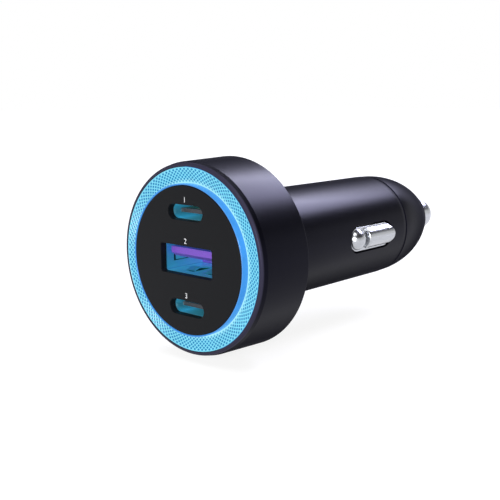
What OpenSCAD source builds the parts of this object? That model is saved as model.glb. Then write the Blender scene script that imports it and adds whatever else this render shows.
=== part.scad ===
// Three-port charger plug for a car's 12 V socket, in millimetres.
// The axis lies along Y. The port face looks to -Y and the sprung tip to +Y.
// The origin is on the axis at the shoulder, where the head stops against the socket's rim.

/* [Head] */
// Outer diameter of the head at the shoulder
head_d = 34.7; // [33.9:0.1:38]
// Length of the head from its lip to the shoulder
head_len = 11.7; // [11:0.1:18]
// How much smaller the head's radius is where its front bevel begins
head_taper = 0.25; // [0:0.05:0.3]
// Length of the front edge, from the lip to the end of the bevel
bevel_len = 1.3; // [0.8:0.1:2.4]
// How far the bevel steps in from the head's wall
bevel_in = 0.18; // [0.05:0.01:0.3]
// Length of the round between the lip and the bevel
edge_round = 0.5; // [0.2:0.1:0.7]
// Flat width of the lip round the light ring
lip_w = 0.1; // [0.05:0.05:0.3]
// Wall of the head behind the light ring
head_wall = 1.65; // [1.25:0.05:1.8]
// Thickness of the head's back wall
head_back = 1.6; // [1.2:0.1:2]
// Radius of the round at the shoulder
shoulder_r = 0.3; // [0.2:0.1:1.2]

/* [Face panel] */
// Thickness of the face panel
panel_t = 1.35; // [1:0.05:1.8]
// How far the panel stands in front of the lip
face_proud = 0.8; // [0.4:0.1:1.2]
// Depth of the panel's rear skirt
skirt_h = 1; // [0.6:0.1:1.4]
// Wall of the panel's rear skirt
skirt_wall = 0.9; // [0.7:0.05:1.1]
// Height from the middle port to each outer port, as a share of the panel's diameter
port_share = 0.3206; // [0.31:0.001:0.33]
// Number of snap legs behind the panel
leg_count = 4; // [3:1:6]
// Angle that one snap leg spans, in degrees
leg_span = 16; // [8:1:24]
// How far a snap leg's barb reaches out
barb_w = 0.35; // [0.2:0.05:0.45]

/* [Light ring] */
// How much smaller the light ring's radius is than the head's
ring_inset = 1.2; // [1.1:0.05:1.5]
// Width of the light ring with its collar
ring_w = 2.97; // [2.8:0.01:3.3]
// Wall of the collar that surrounds the panel
collar_wall = 0.2; // [0.15:0.05:0.6]
// Height of the collar in front of the dished face
collar_h = 1.35; // [1.05:0.05:1.8]
// Thickness of the plate behind the dished face
ring_plate = 1.3; // [0.8:0.1:1.6]
// Depth of the rim from the lip to its seat
rim_depth = 3; // [2.6:0.1:3.6]
// Wall of the rim
rim_wall = 1.05; // [0.7:0.05:1.3]
// Number of diamonds round the ring
diamonds = 108; // [48:1:112]
// Number of diamond rows across the ring
diamond_rows = 4; // [2:1:4]
// Height of a diamond's point above the grooves
diamond_h = 0.16; // [0.1:0.02:0.24]

/* [Ports] */
// Wall of the folded steel port shells
shell_t = 0.3; // [0.2:0.05:0.35]
// Inner width of the wide port
a_w = 12.5; // [12.3:0.05:12.8]
// Inner height of the wide port
a_h = 5.1; // [5:0.05:5.3]
// Length of the wide port's shell
a_len = 12.4; // [12:0.1:13]
// Gap beside the wide port's tongue
a_tongue_side = 0.75; // [0.6:0.05:1]
// Thickness of the wide port's tongue
a_tongue_t = 1.84; // [1.4:0.02:2]
// Length of the wide port's tongue
a_tongue_len = 8.4; // [7.6:0.1:8.8]
// Gap between the tongue's top and the wide shell
a_tongue_gap = 0.75; // [0.6:0.05:0.9]
// How far the wide port's tongue lies behind its shell's edge
a_tongue_set = 0.5; // [0.2:0.1:1]
// Bevel under the tip of the wide port's tongue
a_tongue_bevel = 0.7; // [0.3:0.05:0.9]
// Inner width of a narrow port
c_w = 8.34; // [8.2:0.02:8.5]
// Inner height of a narrow port
c_h = 2.56; // [2.5:0.02:2.7]
// Width of a narrow port's tongue
c_tongue_w = 6.69; // [6.5:0.01:6.9]
// Thickness of a narrow port's tongue
c_tongue_t = 0.7; // [0.6:0.02:0.8]
// How far a narrow port's tongue lies behind its shell's edge
c_tongue_set = 1; // [0.6:0.1:1.4]
// Depth of a narrow port from its shell's edge to its floor
c_depth = 6.2; // [5.8:0.1:6.6]
// How much wider the panel's slots are than the shells' insides
slot_extra = 0.1; // [0.05:0.05:0.4]
// Pitch of the narrow ports' contacts
c_pitch = 0.5; // [0.45:0.01:0.55]
// Contacts on each side of a narrow port's tongue
c_contacts = 12; // [4:2:12]

/* [Barrel] */
// Diameter of the barrel's straight part
barrel_d = 20.9; // [20.6:0.05:21]
// Straight part of the barrel, as a share of its length
straight_share = 0.482; // [0.4:0.002:0.49]
// Length of the barrel from the shoulder to the nose seam
barrel_len = 41.5; // [40:0.5:46]
// How much smaller the barrel's radius is where its end begins to round
barrel_taper = 0.02; // [0:0.01:0.1]
// Length of the round at the barrel's end
barrel_round = 1.4; // [0.8:0.1:2]
// How much smaller the barrel's radius is at the nose seam
seam_drop = 0.25; // [0.1:0.05:0.3]
// Wall of the barrel
barrel_wall = 1.35; // [1.1:0.05:1.5]
// How much smaller the spigot in the head is than the barrel
spigot_step = 0.8; // [0.7:0.05:1]
// Height of the snap bead on the spigot
bead_h = 0.25; // [0.15:0.05:0.4]

/* [Side contacts] */
// Middle of the side contacts, as a share of the barrel's length
contact_place = 0.6955; // [0.69:0.0005:0.705]
// Length of a side contact, as a share of the barrel's length
contact_share = 0.34; // [0.32:0.0005:0.35]
// Width of a side contact
contact_w = 5.2; // [4.4:0.1:5.4]
// How far a side contact stands out of the barrel
contact_proud = 1.1; // [0.6:0.1:1.4]
// How far a side contact can be pressed in
contact_travel = 1.1; // [0.6:0.1:1.4]
// Radius of a side contact's long ridge
ridge_r = 2.2; // [1.8:0.05:2.3]
// Gap between the ball-shaped front end and the ridge
crease_w = 0.2; // [0.1:0.05:0.6]
// Thickness of a side contact's base plate
contact_plate = 0.6; // [0.4:0.1:0.9]
// How far a side contact's base plate reaches under the barrel
contact_hold = 0.8; // [0.5:0.1:1.1]
// Thickness of a side contact's leaf spring
leaf_t = 0.3; // [0.2:0.05:0.4]
// Width of a side contact's leaf spring
leaf_w = 3.6; // [2:0.1:4.4]

/* [Nose and tip] */
// Length of the nose from its seam to its end
nose_len = 14.8; // [14.2:0.1:17]
// Diameter of the nose where its end begins to round
nose_end_d = 12.6; // [11.6:0.1:13.2]
// How much smaller the nose's radius is than the barrel's
nose_step = 0.1; // [0.05:0.01:0.2]
// Round at the nose's end
nose_round = 0.9; // [0.5:0.1:1.2]
// Length of the nose's spigot inside the barrel
nose_spigot = 3.6; // [3:0.1:3.7]
// Wall of the nose cap
nose_wall = 1.4; // [1:0.1:1.6]
// Wall of the nose's spigot
nose_spigot_wall = 1.1; // [0.9:0.1:1.4]
// Thickness of the lip that stops the tip pin
nose_lip = 1.4; // [1:0.1:1.8]
// Diameter of the tip pin
pin_d = 6.8; // [6.2:0.1:7.2]
// How far the tip pin stands out of the nose
pin_out = 9; // [7:0.1:10]
// Height of the tip pin's dome
pin_dome = 3.3; // [2:0.1:3.6]
// Diameter of the tip pin's flange
flange_d = 8.8; // [8.2:0.1:9]
// Thickness of the tip pin's flange
flange_t = 1; // [0.8:0.1:1.6]
// How far the tip pin can be pressed in
pin_travel = 3; // [2:0.1:3.5]
// Wire diameter of the tip spring
wire_d = 0.6; // [0.4:0.05:0.7]
// Turns of the tip spring
spring_turns = 6; // [5:1:7]
// Length of the tip spring at rest
spring_len = 10; // [9:0.1:10.6]

/* [Boards] */
// Thickness of both circuit boards
board_t = 1.2; // [0.8:0.1:1.4]
// Height of the ledge that the port board rests on
board_seat = 1; // [0.6:0.1:1.2]
// Gap between the port board and the head's wall
port_board_gap = 0.4; // [0.2:0.1:0.6]
// Gap between the main board's edges and the wall beside them
main_board_gap = 0.6; // [0.4:0.1:1.2]
// Number of light chips on the port board
led_count = 12; // [6:1:16]

/* [Power parts] */
// Length of an inductor along the axis
inductor_len = 6.8; // [6:0.1:7.4]
// Width of an inductor across the board
inductor_w = 7; // [6:0.1:7.4]
// Height of an inductor above the board
inductor_h = 4.2; // [3.4:0.1:4.4]
// Diameter of the input capacitor
input_can_d = 6.3; // [5:0.1:6.5]
// Length of the input capacitor
input_can_len = 8; // [6:0.1:8.4]
// Diameter of the output capacitor
output_can_d = 5; // [4:0.1:5.2]
// Length of the output capacitor
output_can_len = 5.4; // [4:0.1:5.6]
// Side of a controller chip
chip_side = 4.6; // [3:0.1:5]
// Height of a controller chip
chip_h = 0.9; // [0.6:0.05:1.2]
// Gap between parts on the main board
part_gap = 0.9; // [0.5:0.1:1]

/* [Hidden] */
$fn = 72;

// Clearances: between still parts, in a snap fit, and round what slides
still_gap = 0.08;
snap_gap = 0.05;
slide_gap = 0.06;
eps = 0.01;

// Sizes that follow from others
ring_d = head_d - 2 * ring_inset;
panel_d = ring_d - 2 * (ring_w + still_gap);
port_pitch = panel_d * port_share;
a_tongue_w = a_w - 2 * a_tongue_side;
straight_len = barrel_len * straight_share;
contact_y = barrel_len * contact_place;
contact_len = barrel_len * contact_share;
ball_len = 2 * ridge_r + 0.3 + crease_w;
spigot_d = barrel_d - spigot_step;
nose_start_r = barrel_d / 2 - nose_step;

// Places along the axis
y_lip = -head_len;
y_face = y_lip - face_proud;
y_panel_back = y_face + panel_t;
y_ring_in = y_face + collar_h;
y_ring_out = y_lip + 0.05;
y_plate_back = y_ring_in + ring_plate;
y_rim_seat = y_lip + rim_depth;
y_port_front = y_panel_back + 0.05;
y_ledge = -head_back - board_seat;
y_port_board = y_ledge - board_t;
y_a_back = y_port_front + a_len;
y_a_tip = y_port_front + a_tongue_set;
y_a_floor = y_a_tip + a_tongue_len;
y_c_floor = y_port_front + c_depth;
y_c_tip = y_port_front + c_tongue_set;
y_nose = barrel_len + nose_len;
y_round = y_nose - nose_round;
y_flange = y_nose - nose_lip;
y_spring_front = y_flange - flange_t;
y_seat = y_spring_front - spring_len;
seat_t = 0.5;
y_board_end = y_seat - seat_t;
y_board_start = y_a_back + 0.3;

// Radii
ring_r = ring_d / 2;
ring_seat_r = ring_r + still_gap;
collar_in_r = panel_d / 2 + still_gap;
collar_out_r = collar_in_r + collar_wall;
rim_in_r = ring_r - rim_wall;
cavity_r = head_d / 2 - head_wall;
bore_r = barrel_d / 2 - barrel_wall;
pin_r = pin_d / 2;
flange_r = flange_d / 2;
guide_r = flange_r + slide_gap;
guide_wall = 0.9;
boss_r = pin_r - 1;
coil_r = boss_r + 0.25 + wire_d / 2;

// Boards
spigot_in_r = bore_r - still_gap - nose_spigot_wall;
main_board_w = 2 * (bore_r - main_board_gap);
board_tail_w = 2 * (spigot_in_r - main_board_gap);
port_board_r = cavity_r - port_board_gap;
y_parts = y_board_start + part_gap;
prong_h = 3;
y_output_can = y_board_end - prong_h - output_can_len - 0.4;

// Side contacts
slot_gap = 0.15;
crown_x = barrel_d / 2 + contact_proud;
contact_half = contact_w / 2 + contact_hold;
contact_back = sqrt(bore_r * bore_r - contact_half * contact_half) - 0.05 - contact_plate;
board_x = board_t / 2;

// Points of an ellipse's arc about [cx, cy], from angle a0 to a1
function arc_points(cx, cy, rx, ry, a0, a1, n) = [
    for (i = [0:n]) let (a = a0 + (a1 - a0) * i / n) [cx + rx * cos(a), cy + ry * sin(a)]
];

function unit(v) = v / norm(v);

// Outline of a strip of thickness t along a path
function ribbon(path, t) = let (
    n = len(path),
    dirs = [for (i = [0:n - 2]) unit(path[i + 1] - path[i])],
    offs = [
        for (i = [0:n - 1]) let (
            a = dirs[max(i - 1, 0)],
            b = dirs[min(i, n - 2)],
            m = unit(a + b)
        ) [-m[1], m[0]] / (m * b) * t / 2
    ]
) concat([for (i = [0:n - 1]) path[i] + offs[i]], [for (i = [n - 1:-1:0]) path[i] - offs[i]]);

// A solid turned about the axis from points [radius, y], all round or through an angle
module turned(points, span = 360) {
    rotate([-90, 0, 0])
        rotate([0, 0, -span / 2])
            rotate_extrude(angle = span)
                polygon(points);
}

// A flat outline in X and Z carried along the axis from y0 to y1
module along(y0, y1) {
    translate([0, y1, 0])
        rotate([90, 0, 0])
            linear_extrude(y1 - y0)
                children();
}

module rounded_rect(w, h, r) {
    square([w - 2 * r, h], center = true);
    square([w, h - 2 * r], center = true);
    for (x = [-1, 1], z = [-1, 1])
        translate([x * (w / 2 - r), z * (h / 2 - r)])
            circle(r = r);
}

module obround(length, w) {
    square([length - w, w], center = true);
    for (s = [-1, 1])
        translate([s * (length - w) / 2, 0])
            circle(d = w);
}

module box_between(a, b) {
    translate(a)
        cube(b - a);
}

// Head

module head_shell() {
    lip_r = ring_seat_r + lip_w;
    front_r = head_d / 2 - head_taper;
    hole_r = spigot_d / 2 + snap_gap;
    ledge_in_r = port_board_r - 1.6;
    color("#1b1d26")
        turned(concat(
            [[hole_r, 0]],
            arc_points(head_d / 2 - shoulder_r, -shoulder_r, shoulder_r, shoulder_r, 90, 0, 6),
            [[front_r, y_lip + bevel_len]],
            arc_points(lip_r, y_lip + edge_round, front_r - bevel_in - lip_r, edge_round, 0, -90, 8),
            [
                [ring_seat_r, y_lip],
                [ring_seat_r, y_rim_seat],
                [cavity_r, y_rim_seat],
                [cavity_r, y_ledge],
                [ledge_in_r, y_ledge],
                [ledge_in_r, -head_back],
                [hole_r, -head_back]
            ]
        ));
}

// Face panel with its skirt, port frames and snap legs

module port_slots(y0, y1) {
    along(y0, y1)
        rounded_rect(a_w + slot_extra, a_h + slot_extra / 2, 0.4);
    for (s = [-1, 1])
        translate([0, 0, s * port_pitch])
            along(y0, y1)
                obround(c_w + slot_extra, c_h + slot_extra);
}

module port_frame(w, h, r) {
    frame_wall = 0.7;
    frame_gap = 0.12;
    along(y_panel_back - eps, y_panel_back + skirt_h)
        difference() {
            rounded_rect(w + 2 * (frame_gap + frame_wall), h + 2 * (frame_gap + frame_wall), r + frame_wall);
            rounded_rect(w + 2 * frame_gap, h + 2 * frame_gap, r);
        }
}

module snap_leg() {
    inset = 0.06;
    outer_r = panel_d / 2 - inset;
    inner_r = panel_d / 2 - skirt_wall + inset;
    y_root = y_panel_back + skirt_h - 0.4;
    y_barb = y_plate_back + snap_gap;
    turned([
        [inner_r, y_root],
        [outer_r, y_root],
        [outer_r, y_barb],
        [outer_r + barb_w, y_barb],
        [outer_r + barb_w, y_barb + 0.25],
        [outer_r, y_barb + 1.1],
        [inner_r, y_barb + 1.1]
    ], leg_span);
}

module face_panel() {
    r = panel_d / 2;
    edge = 0.2;
    color("#2e2f33")
        difference() {
            union() {
                turned([
                    [0, y_face],
                    [r - edge, y_face],
                    [r, y_face + edge],
                    [r, y_panel_back + skirt_h],
                    [r - skirt_wall, y_panel_back + skirt_h],
                    [r - skirt_wall, y_panel_back],
                    [0, y_panel_back]
                ]);
                for (i = [0:leg_count - 1])
                    rotate([0, 45 + i * 360 / leg_count, 0])
                        snap_leg();
                port_frame(a_w + 2 * shell_t, a_h + 2 * shell_t, 0.6);
                for (s = [-1, 1])
                    translate([0, 0, s * port_pitch])
                        port_frame(c_w + 2 * shell_t, c_h + 2 * shell_t, 1.5);
            }
            port_slots(y_face - 1, y_panel_back + eps);
        }
}

// Light ring: a dished face of small diamonds, a collar round the panel and a seated rim

function ring_rows() = 2 * diamond_rows;

function ring_height(i, k) = (k > 0 && k < ring_rows() && (i + k) % 2 == 1) ? diamond_h : 0;

function ring_section(i) = concat(
    [[collar_in_r, y_face], [collar_out_r, y_face]],
    [
        for (k = [0:ring_rows()]) let (t = k / ring_rows()) [
            collar_out_r + t * (ring_r - collar_out_r),
            y_ring_in + t * (y_ring_out - y_ring_in) - ring_height(i, k)
        ]
    ],
    [
        [ring_r, y_rim_seat],
        [rim_in_r, y_rim_seat],
        [rim_in_r, y_plate_back],
        [collar_in_r, y_plate_back]
    ]
);

// The two triangles of one cell. Across the diamonds they meet along the groove.
function ring_cell(a, b, c, d, split) = split ? [[a, b, c], [a, c, d]] : [[a, b, d], [b, c, d]];

module light_ring() {
    columns = 2 * diamonds;
    m = len(ring_section(0));
    points = [
        for (i = [0:columns - 1]) let (a = i * 360 / columns)
            for (q = ring_section(i)) [q[0] * cos(a), q[1], q[0] * sin(a)]
    ];
    faces = [
        for (i = [0:columns - 1], j = [0:m - 1]) let (
            i2 = (i + 1) % columns,
            j2 = (j + 1) % m,
            cell = ring_cell(i * m + j, i2 * m + j, i2 * m + j2, i * m + j2, (i + j) % 2 == 0)
        ) each cell
    ];
    color("#4fc3f0")
        polyhedron(points, faces, convexity = 6);
}

module reflector_ring() {
    outer_r = cavity_r - still_gap;
    color("white")
        turned([
            [outer_r - 0.9, y_port_board],
            [outer_r, y_port_board],
            [outer_r, y_rim_seat],
            [outer_r - 0.45, y_rim_seat]
        ]);
}

module light_chips() {
    chip = [1.6, 0.65, 0.8];
    color("#f4f0d0")
        for (i = [0:led_count - 1])
            rotate([0, (i + 0.5) * 360 / led_count, 0])
                translate([-chip[0] / 2, y_port_board - chip[1], cavity_r - still_gap - 2])
                    cube(chip);
}

module board_tab(z_side, grow) {
    tab_w = 3;
    tab_z = 5.2;
    translate([0, 0, z_side * tab_z])
        box_between(
            [-board_x - grow, y_port_board + grow - 0.2, -tab_w / 2 - grow],
            [board_x + grow, y_board_start + eps, tab_w / 2 + grow]
        );
}

module port_board() {
    gap = 0.15;
    color("#1f5a38")
        difference() {
            along(y_port_board, y_ledge)
                circle(r = port_board_r);
            along(y_port_board - 1, y_ledge + 1)
                rounded_rect(a_w + 2 * shell_t + gap, a_h + 2 * shell_t + gap, 0.6);
            for (s = [-1, 1])
                translate([0, -1, 0])
                    board_tab(s, gap);
        }
}

// Wide port

finger_w = 1.9;
finger_y0 = 2.2;
finger_y1 = 7.4;

// A spring finger pressed out of the shell: its path runs back from the tip to the wall
module finger(reach, width) {
    path = [
        [y_port_front + finger_y0, reach * 0.35],
        [y_port_front + finger_y0 + 1.1, reach],
        [y_port_front + finger_y0 + 1.7, reach],
        [y_port_front + finger_y1 + 0.1, 0]
    ];
    translate([-width / 2, 0, -shell_t / 2])
        rotate([90, 0, 90])
            linear_extrude(width)
                polygon(ribbon(path, shell_t * 0.8));
}

module finger_window(width) {
    box_between(
        [-width / 2 - 0.25, y_port_front + finger_y0 - 0.5, -1],
        [width / 2 + 0.25, y_port_front + finger_y1, 1]
    );
}

// Places of the wide port's six fingers: x, z, turn about the axis and reach
finger_x = a_w * 0.192;
finger_places = [
    [-finger_x, -a_h / 2, 0, 0.6],
    [finger_x, -a_h / 2, 0, 0.6],
    [-finger_x, a_h / 2, 180, 0.35],
    [finger_x, a_h / 2, 180, 0.35],
    [-a_w / 2, 0, 90, 0.35],
    [a_w / 2, 0, -90, 0.35]
];

module port_a_shell() {
    color("#c9ccd2") {
        difference() {
            along(y_port_front, y_a_back)
                difference() {
                    rounded_rect(a_w + 2 * shell_t, a_h + 2 * shell_t, 0.5);
                    rounded_rect(a_w, a_h, 0.2);
                }
            for (f = finger_places)
                translate([f[0], 0, f[1]])
                    rotate([0, f[2], 0])
                        finger_window(finger_w);
        }
        for (f = finger_places)
            translate([f[0], 0, f[1]])
                rotate([0, f[2], 0])
                    finger(f[3], finger_w);
    }
}

a_contact_x = [for (share = [-0.28, -0.08, 0.08, 0.28]) share * a_w];
a_contact_w = 1;
a_contact_t = 0.3;
a_tongue_z = a_h / 2 - a_tongue_gap;
a_contact_proud = 0.12;

module a_contact_bars(y0) {
    z0 = a_tongue_z - a_tongue_t - a_contact_proud;
    for (x = a_contact_x)
        box_between(
            [x - a_contact_w / 2, y0, z0],
            [x + a_contact_w / 2, y_board_start - 0.05, z0 + a_contact_t]
        );
}

module port_a_tongue() {
    z1 = a_tongue_z;
    z0 = z1 - a_tongue_t;
    fit = 0.03;
    color("#7a4fc0")
        difference() {
            union() {
                translate([-a_tongue_w / 2, 0, 0])
                    rotate([90, 0, 90])
                        linear_extrude(a_tongue_w)
                            polygon([
                                [y_a_tip, z1],
                                [y_a_tip, z0 + a_tongue_bevel],
                                [y_a_tip + a_tongue_bevel * 1.4, z0],
                                [y_a_floor + eps, z0],
                                [y_a_floor + eps, z1]
                            ]);
                along(y_a_floor, y_a_back)
                    rounded_rect(a_w - 2 * fit, a_h - 2 * fit, 0.2);
            }
            a_contact_bars(y_a_tip + 1.5);
        }
}

module port_a_contacts() {
    color("#d8b25a")
        a_contact_bars(y_a_tip + 1.5);
}

// Narrow ports

module c_shell(side) {
    color("#c9ccd2")
        translate([0, 0, side * port_pitch])
            along(y_port_front, y_port_board)
                difference() {
                    obround(c_w + 2 * shell_t, c_h + 2 * shell_t);
                    obround(c_w, c_h);
                }
}

c_contact_w = 0.26;
c_contact_t = 0.15;
c_contact_proud = 0.04;

module c_contact_bars() {
    for (s = [-1, 1], i = [0:c_contacts - 1]) {
        x = (i - (c_contacts - 1) / 2) * c_pitch;
        z = s * (c_tongue_t / 2 + c_contact_proud - c_contact_t / 2);
        translate([x, 0, z])
            box_between(
                [-c_contact_w / 2, y_c_tip + 0.7, -c_contact_t / 2],
                [c_contact_w / 2, y_port_board, c_contact_t / 2]
            );
    }
}

module c_tongue(side) {
    fit = 0.03;
    color("#4a4b50")
        translate([0, 0, side * port_pitch])
            difference() {
                union() {
                    along(y_c_tip, y_c_floor + eps)
                        rounded_rect(c_tongue_w, c_tongue_t, 0.15);
                    along(y_c_floor, y_port_board)
                        obround(c_w - 2 * fit, c_h - 2 * fit);
                }
                c_contact_bars();
            }
}

module c_contact_set(side) {
    color("#d8b25a")
        translate([0, 0, side * port_pitch])
            c_contact_bars();
}

// Main board and what it carries

module main_board() {
    y_tail = barrel_len - nose_spigot - 0.7;
    color("#1f5a38") {
        box_between(
            [-board_x, y_board_start, -main_board_w / 2],
            [board_x, y_tail, main_board_w / 2]
        );
        box_between(
            [-board_x, y_tail - eps, -board_tail_w / 2],
            [board_x, y_board_end, board_tail_w / 2]
        );
        for (s = [-1, 1])
            board_tab(s, 0);
    }
}

module inductor_at(y) {
    pad_w = 3;
    pad_t = 0.25;
    color("#34363c")
        translate([board_x, y, 0])
            difference() {
                translate([0, 0, -inductor_w / 2])
                    cube([inductor_h, inductor_len, inductor_w]);
                for (z = [-1, 1])
                    translate([-1, (inductor_len - pad_w) / 2, z * inductor_w / 2 - pad_t])
                        cube([1 + inductor_h / 3, pad_w, 2 * pad_t]);
            }
}

module capacitor_at(y0, length, can_d) {
    crimp = 0.35;
    r = can_d / 2;
    color("#3d4350")
        translate([-board_x - r, 0, 0])
            turned([
                [0, y0],
                [r - 0.3, y0],
                [r, y0 + 0.3],
                [r, y0 + 1.2],
                [r - crimp, y0 + 1.5],
                [r - crimp, y0 + 1.8],
                [r, y0 + 2.1],
                [r, y0 + length - 0.3],
                [r - 0.3, y0 + length],
                [0, y0 + length]
            ]);
}

// A chip on one side of the main board, with its near corner at y and z
module chip(side, y, z, length) {
    mirror([side < 0 ? 1 : 0, 0, 0])
        box_between([board_x, y, z], [board_x + chip_h, y + length, z + chip_side]);
}

module controller_chips() {
    y_behind_can = y_parts + input_can_len + part_gap;
    y_behind_chips = y_behind_can + chip_side + part_gap;
    color("#15161a") {
        chip(-1, y_behind_can, part_gap / 2, chip_side);
        chip(-1, y_behind_can, -chip_side - part_gap / 2, chip_side);
        chip(-1, y_behind_chips, -chip_side / 2, chip_side * 0.7);
    }
}

module fuse_chip() {
    fuse = 3.2;
    y1 = y_board_end - prong_h - 0.2;
    color("#e6e2d8")
        box_between([board_x, y1 - fuse, -fuse / 2], [board_x + fuse / 2, y1, fuse / 2]);
}

// Barrel

module barrel_slot(length, w) {
    translate([0, contact_y, 0])
        rotate([0, 90, 0])
            linear_extrude(barrel_d)
                rotate(90)
                    obround(length, w);
}

module board_rails() {
    rail_t = 0.8;
    rail_h = 1.6;
    root = 0.3;
    for (sx = [-1, 1], sz = [-1, 1])
        intersection() {
            translate([sx * (board_x + still_gap + rail_t / 2), 0, sz * (bore_r - rail_h / 2 + root)])
                box_between([-rail_t / 2, y_parts, -rail_h / 2], [rail_t / 2, straight_len, rail_h / 2]);
            along(0, barrel_len)
                circle(r = bore_r + root);
        }
}

module barrel_shell() {
    spigot_r = spigot_d / 2;
    y_bead = -head_back - snap_gap;
    end_r = barrel_d / 2 - barrel_taper - seam_drop;
    color("#1b1d26") {
        difference() {
            turned(concat(
                [
                    [bore_r, y_bead - 0.65],
                    [spigot_r - 0.2, y_bead - 0.65],
                    [spigot_r + bead_h, y_bead - 0.2],
                    [spigot_r + bead_h, y_bead],
                    [spigot_r, y_bead],
                    [spigot_r, 0],
                    [barrel_d / 2, 0],
                    [barrel_d / 2, straight_len]
                ],
                arc_points(end_r, barrel_len - barrel_round, seam_drop, barrel_round, 0, 90, 6),
                [[bore_r, barrel_len]]
            ));
            for (m = [0, 1])
                mirror([m, 0, 0])
                    barrel_slot(contact_len + 2 * slot_gap, contact_w + 2 * slot_gap);
        }
        board_rails();
    }
}

// Side contacts and their leaf springs, drawn on the +X side

module side_contact() {
    y_front = contact_y - contact_len / 2;
    y_rear = contact_y + contact_len / 2;
    y_crease = y_front + ball_len;
    ridge_x = crown_x - ridge_r;
    shelf_x = crown_x - ridge_r * 0.7;
    inset = 0.3;
    color("#d6d8dc")
        union() {
            contact_block(contact_back, contact_back + contact_plate, contact_hold);
            contact_block(contact_back + contact_plate - eps, shelf_x, 0);
            intersection() {
                contact_block(shelf_x - 0.5, crown_x + 1, 0);
                translate([ridge_x, y_crease, 0])
                    rotate([-90, 0, 0])
                        cylinder(r = ridge_r, h = y_rear - y_crease + 1);
            }
            translate([0, y_front + ridge_r + inset, 0])
                rotate([0, 90, 0])
                    rotate_extrude()
                        polygon(concat(
                            [[0, shelf_x - 0.5]],
                            arc_points(0, ridge_x, ridge_r, ridge_r, asin(0.3 * 0.9), 90, 12)
                        ));
        }
}

// The contact's outline, grown by a margin, carried outward from x0 to x1
module contact_block(x0, x1, margin) {
    translate([x0, contact_y, 0])
        rotate([0, 90, 0])
            linear_extrude(x1 - x0)
                rotate(90)
                    obround(contact_len + 2 * margin, contact_w + 2 * margin);
}

module side_spring() {
    x0 = board_x + leaf_t / 2;
    x1 = contact_back - leaf_t / 2;
    bend = leaf_t * 3.5;
    reach = contact_len * 0.3;
    path = [
        [x0, contact_y - reach],
        [x0, contact_y + reach - bend],
        [x0 + bend * 0.3, contact_y + reach - bend * 0.3],
        [x0 + bend, contact_y + reach],
        [x0 + bend * 1.7, contact_y + reach - bend * 0.5],
        [x1 - bend * 0.5, contact_y - reach * 0.4],
        [x1, contact_y - reach * 0.4 - bend],
        [x1, contact_y - reach * 0.4 - bend * 1.8],
        [x1 - bend * 0.6, contact_y - reach * 0.4 - bend * 2.6]
    ];
    color("#b9bcc2")
        translate([0, 0, -leaf_w / 2])
            linear_extrude(leaf_w)
                polygon(ribbon(path, leaf_t));
}

// Nose cap with the sleeve that guides the tip pin

// Radius of the nose's long curve at a place along the axis
function nose_r(y) = let (
    run = y_round - barrel_len,
    drop = nose_start_r - nose_end_d / 2,
    curve_r = (run * run + drop * drop) / (2 * drop)
) nose_start_r - curve_r + sqrt(curve_r * curve_r - pow(y - barrel_len, 2));

module nose_cap() {
    steps = 14;
    edge = 0.12;
    spigot_r = bore_r - still_gap;
    hole_r = pin_r + slide_gap;
    sleeve_r = guide_r + guide_wall;
    y_edge = barrel_len + edge;
    y_sleeve = y_seat - 0.3;
    y_hollow = y_flange - nose_lip;
    color("#1b1d26")
        turned(concat(
            [[nose_start_r - edge, barrel_len]],
            [for (i = [0:steps]) let (y = y_edge + (y_round - y_edge) * i / steps) [nose_r(y), y]],
            arc_points(nose_r(y_round) - nose_round, y_round, nose_round, nose_round, 15, 90, 5),
            [
                [hole_r, y_nose],
                [hole_r, y_flange],
                [guide_r, y_flange],
                [guide_r, y_sleeve],
                [sleeve_r, y_sleeve],
                [sleeve_r, y_hollow]
            ],
            [
                for (i = [steps:-1:0]) let (
                    y = barrel_len + (y_hollow - barrel_len) * i / steps,
                    r = max(nose_r(y) - nose_wall, sleeve_r + 0.4)
                ) [min(r, spigot_in_r), y]
            ],
            [
                [spigot_in_r, barrel_len - nose_spigot],
                [spigot_r, barrel_len - nose_spigot],
                [spigot_r, barrel_len]
            ]
        ));
}

module spring_seat() {
    prong = 0.4;
    prong_w = 4;
    color("#c8a24a") {
        turned([
            [0, y_board_end],
            [flange_r - 0.2, y_board_end],
            [flange_r - 0.2, y_seat],
            [boss_r, y_seat],
            [boss_r, y_seat + 1],
            [0, y_seat + 1]
        ]);
        for (s = [-1, 1])
            translate([s * (board_x + prong / 2), 0, 0])
                box_between(
                    [-prong / 2, y_board_end - prong_h, -prong_w / 2],
                    [prong / 2, y_board_end + eps, prong_w / 2]
                );
    }
}

module tip_pin() {
    y_tip = y_nose + pin_out;
    color("#d6d8dc")
        turned(concat(
            [
                [0, y_spring_front - 1],
                [boss_r, y_spring_front - 1],
                [boss_r, y_spring_front],
                [flange_r, y_spring_front],
                [flange_r, y_flange],
                [pin_r, y_flange]
            ],
            [for (q = arc_points(0, y_tip - pin_dome, pin_r, pin_dome, 0, 90, 12)) [max(q[0], 0), q[1]]]
        ));
}

// Tip spring: closed end turns and open turns between them

function spring_y(turn) = let (
    closed = 1,
    low = wire_d * 1.08 * closed,
    open_pitch = (spring_len - wire_d - 2 * low) / (spring_turns - 2 * closed)
) turn < closed ? wire_d * 1.08 * turn
    : turn > spring_turns - closed ? spring_len - wire_d - wire_d * 1.08 * (spring_turns - turn)
    : low + (turn - closed) * open_pitch;

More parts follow.
